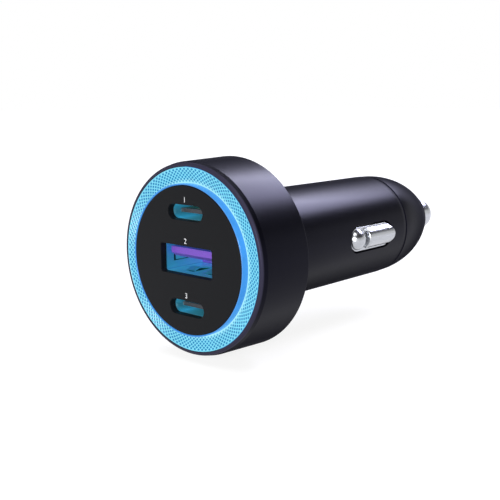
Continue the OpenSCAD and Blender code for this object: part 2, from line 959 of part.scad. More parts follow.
module tip_spring() {
    sides = 6;
    rings = spring_turns * 16;
    points = [
        for (i = [0:rings]) let (
            turn = spring_turns * i / rings,
            a = 360 * turn,
            y = y_seat + wire_d / 2 + spring_y(turn)
        )
            for (k = [0:sides - 1]) let (
                b = 360 * (k + 0.5) / sides,
                r = coil_r + wire_d / 2 * cos(b)
            ) [r * cos(a), y + wire_d / 2 * sin(b), r * sin(a)]
    ];
    faces = concat(
        [[for (k = [0:sides - 1]) k]],
        [
            for (i = [0:rings - 1], k = [0:sides - 1]) let (
                k2 = (k + 1) % sides
            ) [i * sides + k2, i * sides + k, (i + 1) * sides + k, (i + 1) * sides + k2]
        ],
        [[for (k = [sides - 1:-1:0]) rings * sides + k]]
    );
    color("#a9adb5")
        polyhedron(points, faces, convexity = 10);
}

head_shell();
barrel_shell();
nose_cap();
face_panel();
light_ring();
reflector_ring();
light_chips();
port_board();
port_a_shell();
port_a_tongue();
port_a_contacts();
c_shell(1);  // port_c_upper_shell
c_tongue(1);  // port_c_upper_tongue
c_contact_set(1);  // port_c_upper_contacts
c_shell(-1);  // port_c_lower_shell
c_tongue(-1);  // port_c_lower_tongue
c_contact_set(-1);  // port_c_lower_contacts
main_board();
inductor_at(y_parts);  // inductor_front
inductor_at(y_parts + inductor_len + part_gap);  // inductor_rear
capacitor_at(y_parts, input_can_len, input_can_d);  // input_capacitor
capacitor_at(y_output_can, output_can_len, output_can_d);  // output_capacitor
controller_chips();
fuse_chip();
mirror([1, 0, 0]) side_contact();  // side_contact_left
side_contact();  // side_contact_right
mirror([1, 0, 0]) side_spring();  // side_spring_left
side_spring();  // side_spring_right
spring_seat();
tip_spring();
tip_pin();
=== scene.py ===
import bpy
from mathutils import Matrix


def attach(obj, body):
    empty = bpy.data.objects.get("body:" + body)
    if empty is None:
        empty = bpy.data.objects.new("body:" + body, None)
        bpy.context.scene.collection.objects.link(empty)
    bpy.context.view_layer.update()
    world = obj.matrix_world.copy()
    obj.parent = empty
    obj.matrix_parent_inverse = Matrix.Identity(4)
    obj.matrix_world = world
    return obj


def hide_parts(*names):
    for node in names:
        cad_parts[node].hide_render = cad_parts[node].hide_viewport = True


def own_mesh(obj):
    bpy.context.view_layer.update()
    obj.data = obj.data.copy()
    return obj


bl_info = {
    "name": "Car charger plug",
    "version": (1, 0, 0),
    "blender": (4, 5, 0),
    "location": "View3D > Sidebar > Charger",
    "description": "Dresses the packed frame of a three-port charger plug for a car's socket",
    "category": "Object",
}

import math

import bmesh
import bpy
from bpy.props import FloatProperty, IntProperty, PointerProperty, StringProperty
from mathutils import Matrix, Vector

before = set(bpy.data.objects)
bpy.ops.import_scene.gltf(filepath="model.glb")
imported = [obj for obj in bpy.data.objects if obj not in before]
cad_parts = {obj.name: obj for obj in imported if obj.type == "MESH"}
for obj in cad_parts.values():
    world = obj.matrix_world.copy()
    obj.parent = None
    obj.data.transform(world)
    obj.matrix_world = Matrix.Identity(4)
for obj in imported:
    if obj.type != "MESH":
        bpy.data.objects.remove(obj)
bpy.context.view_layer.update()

MM = 0.001
FULL_TURN = 2 * math.pi

# The axis lies along Y, as in the frame: the port face looks to -Y and the tip to +Y.
# Lengths inside the script are millimetres, and finish_piece turns them into metres.

# Vertices nearer than this are one
WELD = 0.0005
# From the nose seam back to the middle of a side contact
SEAM_TO_CONTACT = 12.637
# The end wall of the nose, which keeps the pin's flange in
NOSE_WALL = 1.4
# Gap between the light ring and the parts inside and outside it
RING_FIT = 0.08
# How far the printed numbers stand in front of the panel
PRINT_PROUD = 0.02
# Digits of the built-in typeface are about this share of its text size tall
DIGIT_SHARE = 0.73
# Height of the floor, in metres
FLOOR_HEIGHT = -0.0185


# Settings


def length(name, description, millimetres):
    return FloatProperty(
        name=name,
        description=description,
        default=millimetres * MM,
        unit="LENGTH",
        precision=5,
    )


def colour(name, description, hex_code):
    return StringProperty(name=name, description=description, default=hex_code)


class ChargerSizes(bpy.types.PropertyGroup):
    head_diameter: length("Head diameter", "Outer diameter of the head at its shoulder", 34.7)
    head_draft: length(
        "Head draft", "How much smaller the head's radius is at its front edge", 0.25
    )
    head_length: length("Head length", "From the lip to the shoulder", 11.7)
    edge_length: length("Edge length", "Length of the turned-in band behind the lip", 1.3)
    edge_inset: length("Edge inset", "How far the band turns in", 0.18)
    edge_round: length("Edge round", "Length of the round between the band and the lip", 0.5)
    lip_width: length("Lip width", "Flat lip round the light ring", 0.1)
    face_proud: length("Face height", "How far the panel stands in front of the lip", 0.8)
    panel_diameter: length("Panel diameter", "Diameter of the dark port panel", 26.2)
    ring_diameter: length("Ring diameter", "Outer diameter of the light ring", 32.3)
    collar_wall: length("Collar wall", "Wall of the collar round the panel", 0.2)
    collar_height: length("Collar height", "Height of the collar above the dished face", 1.35)
    diamonds: IntProperty(
        name="Diamonds",
        description="Diamonds round the ring",
        default=108,
        min=24,
    )
    diamond_rows: IntProperty(
        name="Diamond rows",
        description="Rows across the ring",
        default=4,
        min=2,
    )
    diamond_line: length("Diamond line", "Half width of the raised line between two diamonds", 0.08)
    diamond_pit: length("Diamond pit", "Depth of a diamond below the raised lines", 0.16)
    barrel_diameter: length(
        "Barrel diameter", "Diameter of the barrel that enters the socket", 20.9
    )
    barrel_length: length("Barrel length", "From the shoulder to the nose seam", 41.5)
    barrel_round: length("Barrel round", "Length of the round at the barrel's far end", 1.4)
    seam_drop: length("Seam drop", "How far the round falls to the seam", 0.25)
    nose_diameter: length("Nose diameter", "Diameter of the nose at the seam", 20.7)
    nose_end_diameter: length("Nose end diameter", "Diameter where the nose's end rounds", 12.6)
    nose_length: length("Nose length", "From the seam to the end of the nose", 14.8)
    nose_round: length("Nose round", "Radius of the round at the nose's end", 0.9)
    pin_diameter: length("Pin diameter", "Diameter of the sprung tip pin", 6.8)
    pin_reach: length("Pin reach", "How far the pin stands out of the nose", 9.0)
    pin_dome: length("Pin dome", "Height of the pin's round end", 3.3)
    contact_length: length("Contact length", "Length of a side contact along the axis", 14.11)
    contact_width: length("Contact width", "Width of a side contact", 5.2)
    contact_crown: length("Contact crown", "Distance of a contact's ridge from the axis", 11.55)
    ridge_radius: length("Ridge radius", "Radius of a contact's ridge and ball", 2.2)
    ball_length: length("Ball length", "From a contact's front end to the crease", 4.9)
    slot_gap: length("Slot gap", "Gap between a contact and its slot", 0.15)


class ChargerColours(bpy.types.PropertyGroup):
    housing: colour("Housing", "Glossy moulded housing", "#06060a")
    panel: colour("Panel", "Satin port panel", "#0f1013")
    ring_line: colour("Ring lines", "Raised lines of the lit ring", "#88e6f6")
    ring_pale: colour("Ring inner lines", "Raised lines next to the collar", "#b4f2f4")
    ring_pit: colour("Ring pits", "Hollows of the lit ring", "#1673a6")
    collar: colour("Collar", "Smooth lit collar", "#3f93e6")
    tongue: colour("Tongue", "Moulded tongue of the wide port", "#7d52c9")
    nickel: colour("Nickel", "Plated contacts", "#b4b6ba")
    port_steel: colour("Port steel", "Folded port shells", "#9fe4f6")
    # Painted light: the emission on the port shells that stands for the ring's leaked light
    port_glow: colour("Port glow", "Light that leaks into the ports", "#2f8fae")
    print: colour("Print", "Port numbers", "#e8e9ec")
    board: colour("Board", "Circuit boards", "#1f5a38")


# Materials


# A Mix node's two colours are its inputs 6 and 7, and the mixed colour is its output 2.
MIX_A, MIX_B, MIXED = 6, 7, 2
WHITE = (1, 1, 1, 1)


def linear(hex_code, share=1.0):
    """An sRGB hex colour, times a share of its light, as linear red, green, blue and alpha."""
    parts = [int(hex_code[i : i + 2], 16) / 255 for i in (1, 3, 5)]
    light = [c / 12.92 if c <= 0.04045 else ((c + 0.055) / 1.055) ** 2.4 for c in parts]
    return tuple(min(1.0, value * share) for value in light) + (1.0,)


def sized(place, millimetres, **more):
    """Inputs of a pattern whose blobs or cells are about so many millimetres across."""
    return {"Vector": place, "Scale": 1 / (millimetres * MM), **more}


def connect(tree, node, inputs):
    """Gives a node's inputs their values, or links them to sockets or to nodes' first outputs."""
    for key, value in inputs.items():
        if isinstance(value, bpy.types.Node):
            value = value.outputs[0]
        if isinstance(value, bpy.types.NodeSocket):
            tree.links.new(value, node.inputs[key])
        else:
            node.inputs[key].default_value = value


def add_node(tree, kind, inputs=None, stops=(), **settings):
    """A node with its settings, its inputs and, on a ramp, its (position, colour) stops."""
    node = tree.nodes.new(kind)
    for key, value in settings.items():
        setattr(node, key, value)
    connect(tree, node, inputs or {})
    if stops:
        elements = node.color_ramp.elements
        while len(elements) < len(stops):
            elements.new(0.5)
        for element, (position, value) in zip(elements, stops):
            element.position, element.color = position, value
    return node


def new_material(name):
    """A material with its tree, its Principled shader and its Object coordinates."""
    material = bpy.data.materials.new(name)
    material.use_nodes = True
    tree = material.node_tree
    tree.nodes.clear()
    shader = add_node(tree, "ShaderNodeBsdfPrincipled")
    add_node(tree, "ShaderNodeOutputMaterial", {"Surface": shader})
    place = add_node(tree, "ShaderNodeTexCoord").outputs["Object"]
    return material, tree, shader, place


def gloss_polycarbonate(name, hex_code, lip=None):
    # Moulded polycarbonate: near black, with a soft lavender shine and a faint ripple from the
    # mould. Its weak specular level keeps it black beside a white background, and its fine
    # texture, drawn 0.35 to 1.1 mm coarse so that it shows, scatters the shine where the surface
    # turns away. Where a lip is given, as places along the axis, the thin edge is painted a paler
    # lavender: painted light that stands for the ring's light showing through it.
    material, tree, shader, place = new_material(name)
    cloud = add_node(tree, "ShaderNodeTexNoise", sized(place, 9.0, Detail=3.0))
    stops = [(0.3, linear(hex_code, 0.8)), (0.7, linear(hex_code))]
    tint = add_node(tree, "ShaderNodeValToRGB", {"Fac": cloud}, stops)
    if lip:
        # Painted light: the lip band's base colour is mixed towards a paler lavender.
        y = add_node(tree, "ShaderNodeSeparateXYZ", {"Vector": place}).outputs["Y"]
        ends = {"From Min": lip[0] * MM, "From Max": lip[1] * MM}
        painted_lip_light_share = add_node(tree, "ShaderNodeMapRange", {"Value": y, **ends})
        lip_light_mixed = {"Factor": painted_lip_light_share, MIX_A: linear("#32303f"), MIX_B: tint}
        tint = add_node(tree, "ShaderNodeMix", lip_light_mixed, data_type="RGBA").outputs[MIXED]
    facing = add_node(tree, "ShaderNodeLayerWeight").outputs["Facing"]
    turned_away = {"Value": facing, "From Min": 0.52, "From Max": 0.8, "To Max": 0.65}
    scatter = add_node(tree, "ShaderNodeMapRange", turned_away)
    fine = add_node(tree, "ShaderNodeTexNoise", sized(place, 1.1, Detail=3.0))
    gloss = add_node(tree, "ShaderNodeMapRange", {"Value": fine, "To Min": 0.29, "To Max": 0.33})
    rough = add_node(tree, "ShaderNodeMath", {0: gloss, 1: scatter}, operation="ADD")
    ripple = add_node(tree, "ShaderNodeTexNoise", sized(place, 0.35, Detail=3.0))
    depth = {"Height": ripple, "Distance": 0.002 * MM, "Strength": 0.25}
    surface = {
        "Base Color": tint,
        "Roughness": rough,
        "Normal": add_node(tree, "ShaderNodeBump", depth),
        "Specular Tint": linear("#b8b8ff"),
        "Specular IOR Level": 0.09,
    }
    connect(tree, shader, surface)
    return material


def satin_acrylic(name, hex_code):
    # Satin acrylic: dark grey with a fine even grain that softens its shine. The real grain is
    # finer than a pixel, so it is drawn 0.12 to 0.6 mm coarse.
    material, tree, shader, place = new_material(name)
    cloud = add_node(tree, "ShaderNodeTexNoise", sized(place, 0.25, Detail=3.0))
    stops = [(0.3, linear(hex_code, 0.85)), (0.7, linear(hex_code))]
    wear = add_node(tree, "ShaderNodeTexNoise", sized(place, 0.6, Detail=3.0))
    grain = add_node(tree, "ShaderNodeTexNoise", sized(place, 0.12, Detail=3.0))
    depth = {"Height": grain, "Distance": 0.003 * MM, "Strength": 0.3}
    surface = {
        "Base Color": add_node(tree, "ShaderNodeValToRGB", {"Fac": cloud}, stops),
        "Roughness": add_node(
            tree, "ShaderNodeMapRange", {"Value": wear, "To Min": 0.42, "To Max": 0.5}
        ),
        "Normal": add_node(tree, "ShaderNodeBump", depth),
        "Specular IOR Level": 0.12,
    }
    connect(tree, shader, surface)
    return material


def pad_print(name, hex_code):
    # Pad-printed ink: white, a little thin in places where the grain shows through.
    material, tree, shader, place = new_material(name)
    cloud = add_node(tree, "ShaderNodeTexNoise", sized(place, 0.15, Detail=3.0))
    stops = [(0.25, linear(hex_code, 0.75)), (0.5, linear(hex_code))]
    thin = add_node(tree, "ShaderNodeValToRGB", {"Fac": cloud}, stops)
    connect(tree, shader, {"Base Color": thin, "Roughness": 0.6})
    return material


def lit_polycarbonate(name, hex_code, glow):
    # Clear polycarbonate lit from behind: it glows, a little less between the light chips.
    material, tree, shader, place = new_material(name)
    cloud = add_node(tree, "ShaderNodeTexNoise", sized(place, 2.6, Detail=2.0))
    stops = [(0.35, linear(hex_code, 0.8)), (0.65, linear(hex_code))]
    fine = add_node(tree, "ShaderNodeTexNoise", sized(place, 0.4, Detail=3.0))
    surface = {
        "Emission Color": add_node(tree, "ShaderNodeValToRGB", {"Fac": cloud}, stops),
        "Emission Strength": glow,
        "Base Color": linear(hex_code, 0.25),
        "Roughness": add_node(
            tree, "ShaderNodeMapRange", {"Value": fine, "To Min": 0.2, "To Max": 0.3}
        ),
    }
    connect(tree, shader, surface)
    return material


def lit_diamonds(name, c, band, pit):
    # Clear polycarbonate lit from behind: the raised lines carry the light, paler next to the
    # collar, and the hollows are deeper blue, so the colour follows the depth below the face.
    material, tree, shader, place = new_material(name)
    split = add_node(tree, "ShaderNodeSeparateXYZ", {"Vector": place}).outputs
    flat = add_node(tree, "ShaderNodeCombineXYZ", {"X": split["X"], "Y": split["Z"]})
    radius = add_node(tree, "ShaderNodeVectorMath", {0: flat}, operation="LENGTH").outputs["Value"]
    (r0, y0), (r1, y1) = band[0], band[-1]
    slope = (y1 - y0) / (r1 - r0)
    dish = {0: radius, 1: slope, 2: (y0 - slope * r0) * MM}
    plane = add_node(tree, "ShaderNodeMath", dish, operation="MULTIPLY_ADD")
    depth = add_node(tree, "ShaderNodeMath", {0: split["Y"], 1: plane}, operation="SUBTRACT")
    sunk = {"Value": depth, "From Min": pit * 0.15 * MM, "From Max": pit * 0.5 * MM}
    across = {"Value": radius, "From Min": r0 * MM, "From Max": r1 * MM}
    outward = add_node(tree, "ShaderNodeMapRange", across)
    line, hollow = linear(c.ring_line), linear(c.ring_pit)
    raised_stops = [(0.0, linear(c.ring_pale)), (0.35, line), (1.0, line)]
    hollow_stops = [(0.0, line), (0.2, hollow), (1.0, hollow)]
    both = {
        "Factor": add_node(tree, "ShaderNodeMapRange", sunk),
        MIX_A: add_node(tree, "ShaderNodeValToRGB", {"Fac": outward}, raised_stops),
        MIX_B: add_node(tree, "ShaderNodeValToRGB", {"Fac": outward}, hollow_stops),
    }
    chips = add_node(tree, "ShaderNodeTexNoise", sized(place, 3.2, Detail=1.0))
    surface = {
        "Emission Color": add_node(tree, "ShaderNodeMix", both, data_type="RGBA").outputs[MIXED],
        "Emission Strength": add_node(
            tree, "ShaderNodeMapRange", {"Value": chips, "To Min": 0.8, "To Max": 1.0}
        ),
        "Base Color": linear(c.ring_pit, 0.3),
        "Roughness": 0.3,
    }
    connect(tree, shader, surface)
    return material


def plated_metal(name, hex_code, low, high, grain_mm, streak=1.0, glow=None):
    # Plate over steel or brass: a smooth bright skin with faint drawing marks along the axis.
    # A glow, where given, is painted light: an emission on the metal that stands for the ring's
    # light leaking onto it.
    material, tree, shader, place = new_material(name)
    stretch = {"Vector": place, "Scale": (1.0, 1.0 / streak, 1.0)}
    along = add_node(tree, "ShaderNodeMapping", stretch)
    marks = add_node(tree, "ShaderNodeTexNoise", sized(along, grain_mm, Detail=3.0))
    stops = [(0.3, linear(hex_code, 0.94)), (0.7, linear(hex_code))]
    depth = {"Height": marks, "Distance": 0.001 * MM, "Strength": 0.1}
    surface = {
        "Base Color": add_node(tree, "ShaderNodeValToRGB", {"Fac": marks}, stops),
        "Roughness": add_node(
            tree, "ShaderNodeMapRange", {"Value": marks, "To Min": low, "To Max": high}
        ),
        "Normal": add_node(tree, "ShaderNodeBump", depth),
        "Metallic": 1.0,
    }
    # Painted light: the metal itself glows.
    if glow:
        surface |= {"Emission Color": linear(glow), "Emission Strength": 0.3}
    connect(tree, shader, surface)
    return material


def moulded_insulator(name, hex_code, roughness=0.45):
    # Glass-filled nylon, epoxy or fired ceramic: an even colour with a fine speckle.
    material, tree, shader, place = new_material(name)
    speckle = add_node(tree, "ShaderNodeTexNoise", sized(place, 0.2, Detail=3.0))
    stops = [(0.35, linear(hex_code, 0.8)), (0.65, linear(hex_code))]
    grain = add_node(tree, "ShaderNodeTexNoise", sized(place, 0.08, Detail=3.0))
    depth = {"Height": grain, "Distance": 0.003 * MM, "Strength": 0.4}
    surface = {
        "Base Color": add_node(tree, "ShaderNodeValToRGB", {"Fac": speckle}, stops),
        "Roughness": roughness,
        "Normal": add_node(tree, "ShaderNodeBump", depth),
    }
    connect(tree, shader, surface)
    return material


def board_laminate(name, hex_code):
    # Solder mask over copper: green, with paler traces that show through it.
    material, tree, shader, place = new_material(name)
    grid = sized(place, 2.2)
    cells = add_node(tree, "ShaderNodeTexVoronoi", grid, distance="CHEBYCHEV")
    stops = [(0.36, linear(hex_code)), (0.42, linear(hex_code, 1.9))]
    fine = add_node(tree, "ShaderNodeTexNoise", sized(place, 0.5, Detail=3.0))
    depth = {"Height": cells, "Distance": 0.02 * MM, "Strength": 0.4}
    surface = {
        "Base Color": add_node(tree, "ShaderNodeValToRGB", {"Fac": cells}, stops),
        "Roughness": add_node(
            tree, "ShaderNodeMapRange", {"Value": fine, "To Min": 0.28, "To Max": 0.4}
        ),
        "Normal": add_node(tree, "ShaderNodeBump", depth),
    }
    connect(tree, shader, surface)
    return material


# Mesh helpers


def arc(centre, radii, start, end, steps=8):
    """Points of an elliptical arc, with its angles in degrees."""
    turn = [math.radians(start + (end - start) * i / steps) for i in range(steps + 1)]
    return [(centre[0] + radii[0] * math.cos(a), centre[1] + radii[1] * math.sin(a)) for a in turn]


def rounded(corners, steps=4):
    """A closed outline whose corners (radius, y, fillet) get their fillets."""
    points = []
    for i, corner in enumerate(corners):
        here = Vector(corner[:2])
        fillet = corner[2] if len(corner) > 2 else 0
        before = (Vector(corners[i - 1][:2]) - here).normalized()
        after = (Vector(corners[(i + 1) % len(corners)][:2]) - here).normalized()
        half = before.angle(after) / 2 if fillet else 0
        if not fillet or half > math.radians(89):
            points.append(tuple(here))
            continue
        start, end = here + before * fillet / math.tan(half), here + after * fillet / math.tan(half)
        centre = here + (before + after).normalized() * fillet / math.sin(half)
        for k in range(steps + 1):
            way = (start - centre).slerp(end - centre, k / steps).normalized() * fillet
            points.append(tuple(centre + way))
    return points


def turned(bm, outline, steps=160, closed=True):
    """Turns an outline of (radius, y) points all round the axis."""
    verts = [bm.verts.new((r, y, 0)) for r, y in outline]
    pairs = list(zip(verts, verts[1:])) + ([(verts[-1], verts[0])] if closed else [])
    edges = [bm.edges.new(pair) for pair in pairs]
    bmesh.ops.spin(
        bm,
        geom=verts + edges,
        cent=(0, 0, 0),
        axis=(0, 1, 0),
        dvec=(0, 0, 0),
        angle=FULL_TURN,
        steps=steps,
        use_merge=True,
    )


def slot_face(bm, width, height, radius, segments=48):
    """A flat face in X and Z with round corners, made from a circle pushed out to its corners."""
    made = bmesh.ops.create_circle(
        bm,
        cap_ends=True,
        segments=segments,
        radius=radius,
        matrix=Matrix.Rotation(math.pi / 2, 4, "X"),
    )
    half_step = Matrix.Rotation(math.pi / segments, 3, "Y")
    bmesh.ops.rotate(bm, verts=made["verts"], cent=(0, 0, 0), matrix=half_step)
    for vert in made["verts"]:
        vert.co.x += math.copysign(width / 2 - radius, vert.co.x)
        vert.co.z += math.copysign(height / 2 - radius, vert.co.z)
    return made["verts"][0].link_faces[0]


def pushed(bm, face, way):
    """Carries a face along a vector and leaves a closed prism."""
    made = bmesh.ops.extrude_face_region(bm, geom=[face], use_keep_orig=True)
    moved = [e for e in made["geom"] if isinstance(e, bmesh.types.BMVert)]
    bmesh.ops.translate(bm, verts=moved, vec=way)
    return moved


def mesh_object(name, bm):
    mesh = bpy.data.meshes.new(name)
    bm.to_mesh(mesh)
    bm.free()
    piece = bpy.data.objects.new(name, mesh)
    bpy.context.scene.collection.objects.link(piece)
    return piece


def bevelled(bm, edges, offset, segments):
    """Rounds edges."""
    bmesh.ops.bevel(
        bm,
        geom=edges,
        offset=offset,
        segments=segments,
        affect="EDGES",
        profile=0.5,
        material=-1,
    )


def joined(bm, part):
    """Adds a part's mesh to another, with its normals pointing out."""
    bmesh.ops.recalc_face_normals(part, faces=part.faces)
    scratch = bpy.data.meshes.new("scratch")
    part.to_mesh(scratch)
    part.free()
    bm.from_mesh(scratch)
    bpy.data.meshes.remove(scratch)


def carved(bm, tools, operation="DIFFERENCE"):
    """The mesh with the tools' solids taken away, or its part that lies inside a tool."""
    solids = []
    for part in (bm, *tools):
        bmesh.ops.recalc_face_normals(part, faces=part.faces)
        solids.append(mesh_object("solid", part))
    body = solids[0]
    for tool in solids[1:]:
        modifier = body.modifiers.new("carve", "BOOLEAN")
        modifier.object, modifier.operation, modifier.solver = tool, operation, "EXACT"
    bpy.context.view_layer.update()
    result = bmesh.new()
    result.from_object(body, bpy.context.evaluated_depsgraph_get())
    for solid in solids:
        bpy.data.objects.remove(solid)
    return result


def finish_piece(name, bm, materials, body, replaced=(), sharp=34):
    """Closes a mesh drawn in millimetres, shades it and puts it on its body."""
    bmesh.ops.remove_doubles(bm, verts=bm.verts, dist=WELD)
    bmesh.ops.recalc_face_normals(bm, faces=bm.faces)
    bmesh.ops.scale(bm, vec=(MM, MM, MM), verts=bm.verts)
    piece = mesh_object(name, bm)
    piece.data.shade_smooth()
    piece.data.set_sharp_from_angle(angle=math.radians(sharp))
    # Large flat faces keep even shading beside their small rounds.
    even = piece.modifiers.new("even_shading", "WEIGHTED_NORMAL")
    even.keep_sharp = True
    for material in materials:
        piece.data.materials.append(material)
    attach(piece, body)
    if replaced:
        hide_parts(*replaced)
    return piece


def dress(nodes, material):
    """Gives CAD nodes that keep their shape a finished material."""
    for name in nodes:
        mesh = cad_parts[name].data
        mesh.materials.clear()
        mesh.materials.append(material)


def setting_names(group):
    return [key for key in group.bl_rna.properties.keys() if key not in {"rna_type", "name"}]


def sizes():
    """The user's sizes in millimetres."""
    group = bpy.context.scene.charger_sizes
    values = {key: getattr(group, key) for key in setting_names(group)}
    return {key: v / MM if isinstance(v, float) else v for key, v in values.items()}


def colours():
    return bpy.context.scene.charger_colours


def places(s):
    """Places along the axis that several pieces share."""
    lip = -s["head_length"]
    face = lip - s["face_proud"]
    return {
        "lip": lip,
        "face": face,
        "ring_in": face + s["collar_height"],
        "ring_out": lip + 0.05,
        "seat": lip + 3.0,
        "nose": s["barrel_length"] + s["nose_length"],
        "contact": s["barrel_length"] - SEAM_TO_CONTACT,
    }


def nose_radius(s, y):
    """Radius of the nose's long curve, which leaves the seam along the axis."""
    start_r, end_r = s["nose_diameter"] / 2, s["nose_end_diameter"] / 2
    run, drop = s["nose_length"] - s["nose_round"], start_r - end_r
    curve_r = (run**2 + drop**2) / (2 * drop)
    return start_r - curve_r + math.sqrt(curve_r**2 - (y - s["barrel_length"]) ** 2)


# Pieces


class CHARGER_OT_head(bpy.types.Operator):
    """Make the head's glossy cup"""

    bl_idname = "charger.head"
    bl_label = "Head"

    def execute(self, context):
        s = sizes()
        at = places(s)
        r = s["head_diameter"] / 2
        front_r = r - s["head_draft"]
        band_r = front_r - s["edge_inset"]
        ring_r = s["ring_diameter"] / 2 + RING_FIT
        lip_r = ring_r + s["lip_width"]
        # The bore takes the barrel's spigot, and the hollow behind the ring ends in a step.
        bore_r, hollow_r, step_r = 10.1, 15.7, 13.7
        step_y, floor_y = -2.6, -1.6
        # A short band turns in behind the lip and meets the wall in a crisp crease.
        round_middle = (lip_r, at["lip"] + s["edge_round"])
        front_edge = arc(round_middle, (band_r - lip_r, s["edge_round"]), 0, -90, 8)
        outline = (
            [(bore_r, 0.0), (r, 0.0, 0.3), (front_r, at["lip"] + s["edge_length"], 0.05)]
            + front_edge
            + [(ring_r, at["lip"], 0.04), (ring_r, at["seat"]), (hollow_r, at["seat"])]
            + [(hollow_r, step_y), (step_r, step_y), (step_r, floor_y), (bore_r, floor_y)]
        )
        bm = bmesh.new()
        turned(bm, rounded(outline), steps=192)
        # The lip band's paler colour is painted light from the ring.
        painted_lip_light_band = (at["lip"] + s["edge_round"] * 0.6, at["lip"] + s["edge_round"] * 1.2)
        skin = gloss_polycarbonate("gloss_black_polycarbonate_head", colours().housing, painted_lip_light_band)
        finish_piece("head_cup", bm, [skin], "housing", ["head_shell"], sharp=50)
        return {"FINISHED"}


def contact_slot(s, side):
    """A solid that cuts the slot of a side contact."""
    bm = bmesh.new()
    long_way = s["contact_length"] + 2 * s["slot_gap"]
    wide = s["contact_width"] + 2 * s["slot_gap"]
    start, reach = 5, 10
    face = slot_face(bm, long_way, wide, wide / 2)
    pushed(bm, face, (0, reach, 0))
    # The face is drawn in X and Z: X turns onto the axis and Y turns outward.
    quarter = Matrix.Rotation(math.pi / 2, 3, "Z")
    bmesh.ops.rotate(bm, verts=bm.verts, cent=(0, 0, 0), matrix=quarter)
    bmesh.ops.scale(bm, vec=(-side, 1, 1), verts=bm.verts)
    bmesh.ops.translate(bm, verts=bm.verts, vec=(side * start, places(s)["contact"], 0))
    return bm


class CHARGER_OT_barrel(bpy.types.Operator):
    """Make the barrel with its two contact slots"""

    bl_idname = "charger.barrel"
    bl_label = "Barrel"

    def execute(self, context):
        s = sizes()
        r, end = s["barrel_diameter"] / 2, s["barrel_length"]
        draft, straight = 0.02, 20.0
        round_start = end - s["barrel_round"]
        # The spigot goes into the head, with a snap bead in the head's step.
        inner_r, spigot_r, bead_r, neck_r = 9.1, 9.85, 10.3, 10.05
        spigot_y, bead_start, bead_end = -2.3, -1.85, -1.65
        rows = 24
        wall = [(r, 0.0), (r, 7.0), (r, 14.0), (r, straight)]
        for i in range(1, rows):
            share = i / rows
            wall.append((r - draft * share, straight + (round_start - straight) * share))
        round_middle = (r - draft - s["seam_drop"], round_start)
        wall += arc(round_middle, (s["seam_drop"], s["barrel_round"]), 0, 90, 10)
        outline = (
            [(inner_r, spigot_y), (spigot_r, spigot_y), (bead_r, bead_start), (bead_r, bead_end)]
            + [(neck_r, bead_end), (neck_r, 0.0)]
            + wall
            + [(inner_r, end), (inner_r, 38.0), (inner_r, straight)]
        )
        bm = bmesh.new()
        turned(bm, outline, steps=240)
        bm = carved(bm, [contact_slot(s, side) for side in (-1, 1)])
        skin = gloss_polycarbonate("gloss_black_polycarbonate_barrel", colours().housing)
        replaced = ["barrel_shell"]
        finish_piece("barrel_tube", bm, [skin], "housing", replaced, sharp=40)
        return {"FINISHED"}


class CHARGER_OT_nose(bpy.types.Operator):
    """Make the tapered nose cap"""

    bl_idname = "charger.nose"
    bl_label = "Nose"

    def execute(self, context):
        s = sizes()
        seam, end, edge = s["barrel_length"], places(s)["nose"], 0.12
        long_end, end_round = end - s["nose_round"], s["nose_round"]
        spigot_r, hollow_r, spigot_y = 9.02, 7.92, seam - 3.6
        # A tube guides the pin behind the end wall.
        guide_r, guide_outer_r, web_r = 4.46, 5.36, 6.2
        wall_y, web_y, guide_y = end - NOSE_WALL, end - 2.8, end - 12.7
        steps = 28
        wall = [(s["nose_diameter"] / 2 - edge, seam)]
        for i in range(steps + 1):
            y = seam + edge + (long_end - seam - edge) * i / steps
            wall.append((nose_radius(s, y), y))
        wall += arc((wall[-1][0] - end_round, long_end), (end_round, end_round), 12, 90, 7)
        hole_r = s["pin_diameter"] / 2 + 0.06
        outline = (
            [(spigot_r, seam)]
            + wall
            + [(hole_r + edge, end), (hole_r, end - edge), (hole_r, wall_y), (guide_r, wall_y)]
            + [(guide_r, guide_y), (guide_outer_r, guide_y), (guide_outer_r, web_y), (web_r, web_y)]
            + [(hollow_r, seam + 5.0), (hollow_r, spigot_y), (spigot_r, spigot_y)]
        )
        bm = bmesh.new()
        turned(bm, outline, steps=192)
        skin = gloss_polycarbonate("gloss_black_polycarbonate_nose", colours().housing)
        finish_piece("nose_cone", bm, [skin], "housing", ["nose_cap"], sharp=40)
        return {"FINISHED"}


PORT_SLOTS = (
    # (height on the face, width, height, corner radius)
    (8.4, 8.44, 2.66, 1.33),
    (0.0, 12.6, 5.15, 0.4),
    (-8.4, 8.44, 2.66, 1.33),
)


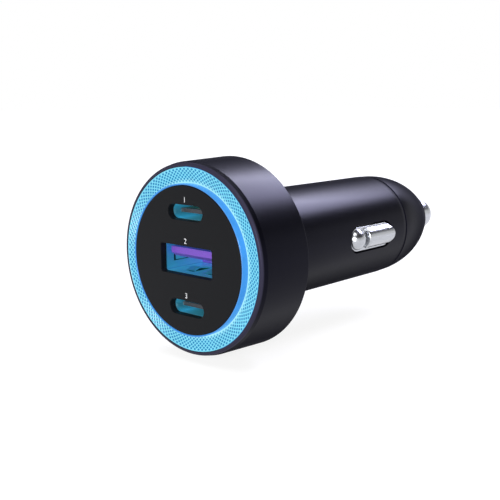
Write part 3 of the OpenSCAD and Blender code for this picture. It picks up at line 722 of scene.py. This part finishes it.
class CHARGER_OT_panel(bpy.types.Operator):
    """Make the port panel with its three slots"""

    bl_idname = "charger.panel"
    bl_label = "Panel"

    def execute(self, context):
        s = sizes()
        front = places(s)["face"]
        face = front + PRINT_PROUD
        r = s["panel_diameter"] / 2
        skirt_r, skirt_y, back_y = r - 0.9, front + 2.35, front + 1.35
        outline = [(0.0, face), (r, face, 0.16), (r, skirt_y), (skirt_r, skirt_y)]
        outline += [(skirt_r, back_y), (0.0, back_y)]
        bm = bmesh.new()
        turned(bm, rounded(outline), steps=160, closed=False)
        bmesh.ops.remove_doubles(bm, verts=bm.verts, dist=WELD)
        cutters = []
        ahead, reach = 1.5, 4
        for height, width, tall, corner in PORT_SLOTS:
            cutter = bmesh.new()
            pushed(cutter, slot_face(cutter, width, tall, corner), (0, reach, 0))
            bmesh.ops.translate(cutter, verts=cutter.verts, vec=(0, face - ahead, height))
            cutters.append(cutter)
        bm = carved(bm, cutters)
        # The slots' sharp front edges get a small round.
        rims = [
            edge
            for edge in bm.edges
            if all(abs(v.co.y - face) < 0.001 for v in edge.verts)
            and all(math.hypot(v.co.x, v.co.z) < r - 1 for v in edge.verts)
            and edge.is_manifold
            and edge.calc_face_angle(0) > 1.0
        ]
        bevelled(bm, rims, 0.07, 3)
        skin = satin_acrylic("satin_black_acrylic", colours().panel)
        finish_piece("port_panel", bm, [skin], "housing", ["face_panel"], sharp=34)
        return {"FINISHED"}


class CHARGER_OT_numbers(bpy.types.Operator):
    """Print a plain number above each port"""

    bl_idname = "charger.numbers"
    bl_label = "Port numbers"

    def execute(self, context):
        front = places(sizes())["face"]
        tall, gap = 0.95, 0.45
        scale = tall / DIGIT_SHARE
        upright = Matrix.Rotation(math.pi / 2, 3, "X")
        bm = bmesh.new()
        for number, (height, _, slot_tall, _) in enumerate(PORT_SLOTS, 1):
            text = bpy.data.curves.new("port_number", "FONT")
            text.body, text.align_x, text.size, text.extrude = str(number), "CENTER", 1.0, 0.5
            holder = bpy.data.objects.new("port_number", text)
            flat = bpy.data.meshes.new_from_object(holder)
            bpy.data.objects.remove(holder)
            bpy.data.curves.remove(text)
            digit = bmesh.new()
            digit.from_mesh(flat)
            bpy.data.meshes.remove(flat)
            bmesh.ops.scale(digit, vec=(scale, scale, PRINT_PROUD), verts=digit.verts)
            bmesh.ops.rotate(digit, verts=digit.verts, cent=(0, 0, 0), matrix=upright)
            over = height + slot_tall / 2 + gap
            bmesh.ops.translate(digit, verts=digit.verts, vec=(0, front + PRINT_PROUD / 2, over))
            joined(bm, digit)
        ink = pad_print("white_pad_print", colours().print)
        finish_piece("port_numbers", bm, [ink], "housing")
        return {"FINISHED"}


class CHARGER_OT_ring(bpy.types.Operator):
    """Make the light ring: its lit diamonds, its smooth collar and its rim"""

    bl_idname = "charger.ring"
    bl_label = "Light ring"

    def execute(self, context):
        s = sizes()
        at = places(s)
        inner = s["panel_diameter"] / 2 + RING_FIT
        start, ring_r = inner + s["collar_wall"], s["ring_diameter"] / 2
        columns, rows = 2 * s["diamonds"], 2 * s["diamond_rows"]
        line, pit = s["diamond_line"], s["diamond_pit"]

        # The patterned face: a dished band of cells, each split along one diagonal so that
        # the split lines make diamonds. Their middles are then sunk between raised lines.
        bm = bmesh.new()
        radial, rise = (ring_r - start) / rows, (at["ring_out"] - at["ring_in"]) / rows
        band = [(start + radial * k, at["ring_in"] + rise * k) for k in range(rows + 1)]
        turned(bm, band, steps=columns, closed=False)
        bmesh.ops.remove_doubles(bm, verts=bm.verts, dist=WELD)

        def lattice(co):
            column = round(math.atan2(co.z, co.x) / FULL_TURN * columns)
            return column, round((math.hypot(co.x, co.z) - start) / radial)

        for vert in bm.verts:
            vert.tag = sum(lattice(vert.co)) % 2 == 1
        for face in list(bm.faces):
            even = [v for v in face.verts if not v.tag]
            bmesh.utils.face_split(face, even[0], even[1])
        middles = [v for v in bm.verts if v.tag and 0 < lattice(v.co)[1] < rows]
        bmesh.ops.dissolve_verts(bm, verts=middles)
        bmesh.ops.recalc_face_normals(bm, faces=bm.faces)
        if sum(face.normal.y for face in bm.faces) > 0:
            bmesh.ops.reverse_faces(bm, faces=bm.faces)
        cells = list(bm.faces)
        # A diamond's edge falls by the first share of its depth, and its middle by the second.
        edge_fall, middle_fall = -pit * 0.3, -pit * 0.7
        bmesh.ops.inset_individual(
            bm, faces=cells, thickness=line, depth=edge_fall, use_even_offset=True
        )
        bmesh.ops.poke(bm, faces=cells, offset=middle_fall, center_mode="MEAN")

        # The collar, the plate behind the face and the rim that seats in the head
        body = bmesh.new()
        back, rim_r = at["ring_in"] + 1.3, ring_r - 1.05
        round_in, round_out = 0.06, 0.08
        outline = (
            [(ring_r, at["ring_out"]), (ring_r, at["seat"]), (rim_r, at["seat"])]
            + [(rim_r, back), (inner, back)]
            + arc((inner + round_in, at["face"] + round_in), (round_in, round_in), 180, 270, 3)
            + arc((start - round_out, at["face"] + round_out), (round_out, round_out), -90, 0, 3)
            + [(start, at["ring_in"])]
        )
        turned(body, outline, steps=columns, closed=False)
        for face in body.faces:
            face.material_index = 1
        joined(bm, body)

        c = colours()
        glow = lit_diamonds("lit_blue_polycarbonate", c, band, pit)
        collar = lit_polycarbonate("lit_blue_collar", c.collar, 0.85)
        skins = [glow, collar]
        finish_piece("light_ring_lens", bm, skins, "housing", ["light_ring"], sharp=30)
        return {"FINISHED"}


class CHARGER_OT_ports(bpy.types.Operator):
    """Finish the three ports: steel shells, moulded tongues and plated contacts"""

    bl_idname = "charger.ports"
    bl_label = "Ports"

    def execute(self, context):
        c = colours()
        # The shells get a painted glow: an emission that stands for the ring's light leaking in
        # behind the panel.
        steel = plated_metal(
            "drawn_stainless_steel", c.port_steel, 0.3, 0.4, 0.25, 8, glow=c.port_glow
        )
        dress(["port_a_shell", "port_c_upper_shell", "port_c_lower_shell"], steel)
        dress(["port_a_tongue"], moulded_insulator("purple_nylon", c.tongue, 0.4))
        grey = moulded_insulator("dark_grey_nylon", "#3b3d42")
        dress(["port_c_upper_tongue", "port_c_lower_tongue"], grey)
        gold = plated_metal("gold_plate", "#d8b25a", 0.15, 0.25, 0.2)
        dress(["port_a_contacts", "port_c_upper_contacts", "port_c_lower_contacts"], gold)
        return {"FINISHED"}


def side_contact_mesh(s, side):
    """A side contact: its held base plate, its long half-round ridge and its ball-shaped end."""
    middle = places(s)["contact"]
    long_way, wide = s["contact_length"], s["contact_width"]
    front, rear = middle - long_way / 2, middle + long_way / 2
    crown, ridge_r = s["contact_crown"], s["ridge_radius"]
    crease = front + s["ball_length"]
    ridge_x, shelf = crown - ridge_r, crown - ridge_r * 0.7
    # The base plate is wider than the slot by hold on each side, so the wall keeps it in.
    plate_back, plate_front, hold, overlap = 7.791, 8.391, 0.8, 0.05
    # The shelf stands this far inside the slot, and the bar stops a little further in.
    rim, bar_in = 0.2, 0.15

    def block(x0, x1, margin, edge):
        part = bmesh.new()
        face = slot_face(part, long_way + 2 * margin, wide + 2 * margin, wide / 2 + margin, 64)
        top = pushed(part, face, (0, x1 - x0, 0))
        if edge:
            bevelled(part, [e for e in part.edges if all(v in top for v in e.verts)], edge, 3)
        quarter = Matrix.Rotation(-math.pi / 2, 3, "Z")
        bmesh.ops.rotate(part, verts=part.verts, cent=(0, 0, 0), matrix=quarter)
        bmesh.ops.translate(part, verts=part.verts, vec=(x0, middle, 0))
        return part

    def bar():
        part = bmesh.new()
        reach = rear - crease
        centre = Matrix.Translation((ridge_x, crease + reach / 2, 0))
        bmesh.ops.create_cone(
            part,
            cap_ends=True,
            segments=96,
            radius1=ridge_r,
            radius2=ridge_r,
            depth=reach,
            matrix=centre @ Matrix.Rotation(math.pi / 2, 4, "X"),
        )
        near = [e for e in part.edges if all(abs(v.co.y - crease) < 0.01 for v in e.verts)]
        bevelled(part, near, 0.4, 5)
        return part

    def ball():
        part = bmesh.new()
        centre = Matrix.Translation((ridge_x, front + ridge_r + 0.3, 0))
        bmesh.ops.create_uvsphere(
            part,
            u_segments=64,
            v_segments=32,
            radius=ridge_r,
            matrix=centre @ Matrix.Rotation(math.pi / 2, 4, "Y"),
        )
        return part

    def inside_rim(part):
        limits = block(shelf - 0.4, crown + 1, -rim - bar_in, 0)
        return carved(part, [limits], "INTERSECT")

    # A dark gap shows round the shelf. The bar stops just inside the shelf's round end, so
    # that the shelf is a thin rim, and the bar's end is rounded.
    ridge = inside_rim(bar())
    end = [
        e
        for e in ridge.edges
        if e.is_manifold
        and e.calc_face_angle(0) > 0.7
        and all(v.co.y > rear - wide / 2 and v.co.x > shelf for v in e.verts)
    ]
    bevelled(ridge, end, 0.3, 4)
    bm = bmesh.new()
    for part in (
        block(plate_back, plate_front, hold, 0.08),
        block(plate_front - overlap, shelf, -rim, 0.12),
        ridge,
        inside_rim(ball()),
    ):
        joined(bm, part)
    bmesh.ops.scale(bm, vec=(side, 1, 1), verts=bm.verts)
    return bm


class CHARGER_OT_side_contacts(bpy.types.Operator):
    """Make the two sprung side contacts"""

    bl_idname = "charger.side_contacts"
    bl_label = "Side contacts"

    def execute(self, context):
        s = sizes()
        nickel = plated_metal("bright_nickel_plate_side", colours().nickel, 0.22, 0.3, 0.3, 10)
        for side, word in ((-1, "left"), (1, "right")):
            finish_piece(
                f"contact_bar_{word}",
                side_contact_mesh(s, side),
                [nickel],
                f"contact_{word}",
                [f"side_contact_{word}"],
                sharp=30,
            )
        return {"FINISHED"}


class CHARGER_OT_tip(bpy.types.Operator):
    """Make the sprung tip pin"""

    bl_idname = "charger.tip"
    bl_label = "Tip pin"

    def execute(self, context):
        s = sizes()
        flange = places(s)["nose"] - NOSE_WALL
        r, top = s["pin_diameter"] / 2, places(s)["nose"] + s["pin_reach"]
        # The flange behind the end wall holds the pin in, and the tail centres the spring.
        flange_r, flange_back = 4.4, flange - 1.0
        tail_r, tail_end = r - 1, flange - 2.0
        outline = (
            [(0.0, tail_end), (tail_r, tail_end, 0.2), (tail_r, flange_back)]
            + [(flange_r, flange_back, 0.15), (flange_r, flange, 0.15), (r, flange)]
            + arc((0, top - s["pin_dome"]), (r, s["pin_dome"]), 0, 90, 20)
        )
        bm = bmesh.new()
        turned(bm, rounded(outline), steps=128, closed=False)
        nickel = plated_metal("bright_nickel_plate_tip", colours().nickel, 0.2, 0.28, 0.3, 6)
        finish_piece("tip_stud", bm, [nickel], "tip", ["tip_pin"], sharp=40)
        return {"FINISHED"}


SPRINGS = (
    # (node, new piece, joint, axis, fixed end along the axis, share kept at the joint's limit)
    ("tip_spring", "tip_coil", "tip_pin_slide", (0, 1, 0), 43.9, 0.7),
    ("side_spring_left", "leaf_left", "side_contact_left_slide", (1, 0, 0), -0.6, 0.847),
    ("side_spring_right", "leaf_right", "side_contact_right_slide", (1, 0, 0), 0.6, 0.847),
)


class CHARGER_OT_springs(bpy.types.Operator):
    """Make the springs as finished copies of the frame's spring nodes"""

    bl_idname = "charger.springs"
    bl_label = "Springs"

    def execute(self, context):
        wire = plated_metal("drawn_spring_steel", "#b9bcc2", 0.25, 0.35, 0.2, 4)
        for node, name, joint, axis, fixed, keep in SPRINGS:
            bm = bmesh.new()
            bm.from_mesh(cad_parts[node].data)
            bmesh.ops.scale(bm, vec=(1 / MM, 1 / MM, 1 / MM), verts=bm.verts)
            piece = finish_piece(name, bm, [wire], "housing", [node])
            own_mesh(piece)
        return {"FINISHED"}


class CHARGER_OT_inside(bpy.types.Operator):
    """Finish what the housing holds: boards, power parts, the spring seat and light chips"""

    bl_idname = "charger.inside"
    bl_label = "Inside"

    def execute(self, context):
        dress(["main_board", "port_board"], board_laminate("green_solder_mask", colours().board))
        for nodes, name, hex_code, roughness in (
            (["reflector_ring"], "white_reflector", "#f2f2ee", 0.5),
            (["light_chips"], "phosphor_lens", "#f4f0d0", 0.3),
            (["inductor_front", "inductor_rear"], "pressed_ferrite", "#34363c", 0.6),
            (["controller_chips"], "moulded_epoxy", "#15161a", 0.55),
            (["fuse_chip"], "fired_ceramic", "#e6e2d8", 0.35),
        ):
            dress(nodes, moulded_insulator(name, hex_code, roughness))
        can = plated_metal("coated_aluminium_can", "#8a8f98", 0.3, 0.4, 0.4)
        dress(["input_capacitor", "output_capacitor"], can)
        dress(["spring_seat"], plated_metal("stamped_brass", "#c8a24a", 0.25, 0.35, 0.3))
        return {"FINISHED"}


# Stage


def soft_lamp(name, place, aim, width, height, power, hex_code="#ffffff", long_way=(1, 0, 0)):
    """A softbox at a place, turned to an aim, with its width along a direction."""
    back = (Vector(place) - Vector(aim)).normalized()
    across = (Vector(long_way) - back * back.dot(Vector(long_way))).normalized()
    data = bpy.data.lights.new(name, "AREA")
    data.shape, data.size, data.size_y, data.energy = "RECTANGLE", width, height, power
    data.color = linear(hex_code)[:3]
    lamp = bpy.data.objects.new(name, data)
    turn = Matrix((across, back.cross(across), back)).transposed().to_4x4()
    lamp.matrix_world = Matrix.Translation(place) @ turn
    bpy.context.scene.collection.objects.link(lamp)


class CHARGER_OT_stage(bpy.types.Operator):
    """Set the camera, the lamps, the floor and the background"""

    bl_idname = "charger.stage"
    bl_label = "Stage"

    def execute(self, context):
        scene = context.scene
        scene.view_settings.view_transform = "Standard"

        data = bpy.data.cameras.new("camera")
        data.sensor_width, data.lens = 36.0, 64.0
        data.clip_start, data.clip_end = 0.01, 10.0
        camera = bpy.data.objects.new("camera", data)
        right, up = (0.7416, 0.6708, -0.0061), (-0.1171, 0.1385, 0.9834)
        back = (0.6605, -0.7286, 0.1813)
        turn = Matrix((right, up, back)).transposed().to_4x4()
        camera.matrix_world = Matrix.Translation((0.1093, -0.1165, 0.0296)) @ turn
        scene.collection.objects.link(camera)
        scene.camera = camera

        bm = bmesh.new()
        bmesh.ops.create_grid(bm, x_segments=1, y_segments=1, size=1.5)
        bmesh.ops.translate(bm, verts=bm.verts, vec=(0, 0, FLOOR_HEIGHT))
        floor = mesh_object("floor", bm)
        floor.data.materials.append(floor_material())

        world = bpy.data.worlds.new("world")
        world.use_nodes = True
        tree = world.node_tree
        tree.nodes.clear()
        # Lamps aside, the studio is an even soft light. What shows of it is white up to a little
        # above the horizon and dark overhead, so bright metal gets both in its reflections.
        way = add_node(tree, "ShaderNodeTexCoord").outputs["Generated"]
        height = add_node(tree, "ShaderNodeSeparateXYZ", {"Vector": way}).outputs["Z"]
        fall = {"Value": height, "From Min": 0.22, "From Max": 0.34, "To Min": 1.0, "To Max": 0.03}
        overhead = add_node(tree, "ShaderNodeMapRange", fall)
        plain = add_node(tree, "ShaderNodeBackground", {"Color": WHITE, "Strength": 0.3})
        white = add_node(tree, "ShaderNodeBackground", {"Color": WHITE, "Strength": overhead})
        seen = seen_directly(tree)
        mixed = add_node(tree, "ShaderNodeMixShader", {0: seen, 1: plain, 2: white})
        add_node(tree, "ShaderNodeOutputWorld", {"Surface": mixed})
        scene.world = world

        # A long softbox behind and above draws the highlight along the housing, one overhead
        # lights the head's lip, and one in front lights the ports.
        middle = (0, 0.01, 0)
        key_way = (-1, 0, -0.08)
        key_place = (-0.02, 0.385, 0.325)
        soft_lamp("key_lamp", key_place, middle, 0.38, 0.16, 4.0, "#e6e6ff", key_way)
        soft_lamp("top_lamp", (0.12, -0.16, 0.42), middle, 0.24, 0.24, 0.8)
        soft_lamp("front_lamp", (0.28, -0.42, 0.1), middle, 0.22, 0.22, 2.6)
        return {"FINISHED"}


def seen_directly(tree):
    """1 for the rays that show a surface as it is: from the camera, a mirror or through glass."""
    path = add_node(tree, "ShaderNodeLightPath").outputs
    rays = {0: path["Is Camera Ray"], 1: path["Is Transmission Ray"]}
    seen = add_node(tree, "ShaderNodeMath", rays, operation="MAXIMUM")
    rays = {0: seen, 1: path["Is Glossy Ray"]}
    return add_node(tree, "ShaderNodeMath", rays, operation="MAXIMUM")


def floor_material():
    # Plain white floor: mostly its own white where it is seen, under a faint real shadow. Far
    # away, where no lamp reaches, its own white takes over up to the horizon.
    material, tree, shader, place = new_material("plain_white_floor")
    cloud = add_node(tree, "ShaderNodeTexNoise", sized(place, 40.0, Detail=3.0))
    stops = [(0.3, (0.22, 0.22, 0.22, 1)), (0.7, (0.24, 0.24, 0.24, 1))]
    away = add_node(tree, "ShaderNodeVectorMath", {0: place}, operation="LENGTH").outputs["Value"]
    rise = {"Value": away, "From Min": 0.15, "From Max": 0.7, "To Min": 0.85, "To Max": 1.0}
    glow = {0: seen_directly(tree), 1: add_node(tree, "ShaderNodeMapRange", rise)}
    surface = {
        "Base Color": add_node(tree, "ShaderNodeValToRGB", {"Fac": cloud}, stops),
        "Roughness": 1.0,
        "Specular IOR Level": 0.0,
        "Emission Color": WHITE,
        "Emission Strength": add_node(tree, "ShaderNodeMath", glow, operation="MULTIPLY"),
    }
    connect(tree, shader, surface)
    return material


class CHARGER_PT_panel(bpy.types.Panel):
    """The charger's pieces, sizes and colours"""

    bl_idname = "CHARGER_PT_panel"
    bl_label = "Car charger plug"
    bl_space_type = "VIEW_3D"
    bl_region_type = "UI"
    bl_category = "Charger"

    def draw(self, context):
        layout = self.layout
        for operator in OPERATORS:
            layout.operator(operator.bl_idname)
        for group in (context.scene.charger_sizes, context.scene.charger_colours):
            box = layout.box()
            for key in setting_names(group):
                box.prop(group, key)


OPERATORS = (
    CHARGER_OT_head,
    CHARGER_OT_barrel,
    CHARGER_OT_nose,
    CHARGER_OT_panel,
    CHARGER_OT_numbers,
    CHARGER_OT_ring,
    CHARGER_OT_ports,
    CHARGER_OT_side_contacts,
    CHARGER_OT_tip,
    CHARGER_OT_springs,
    CHARGER_OT_inside,
    CHARGER_OT_stage,
)
CLASSES = (ChargerSizes, ChargerColours, *OPERATORS, CHARGER_PT_panel)


def register():
    for cls in CLASSES:
        bpy.utils.register_class(cls)
    bpy.types.Scene.charger_sizes = PointerProperty(type=ChargerSizes)
    bpy.types.Scene.charger_colours = PointerProperty(type=ChargerColours)


def unregister():
    del bpy.types.Scene.charger_colours
    del bpy.types.Scene.charger_sizes
    for cls in reversed(CLASSES):
        bpy.utils.unregister_class(cls)


def main():
    register()
    for operator in OPERATORS:
        group, name = operator.bl_idname.split(".")
        getattr(getattr(bpy.ops, group), name)()


if __name__ == "__main__":
    main()
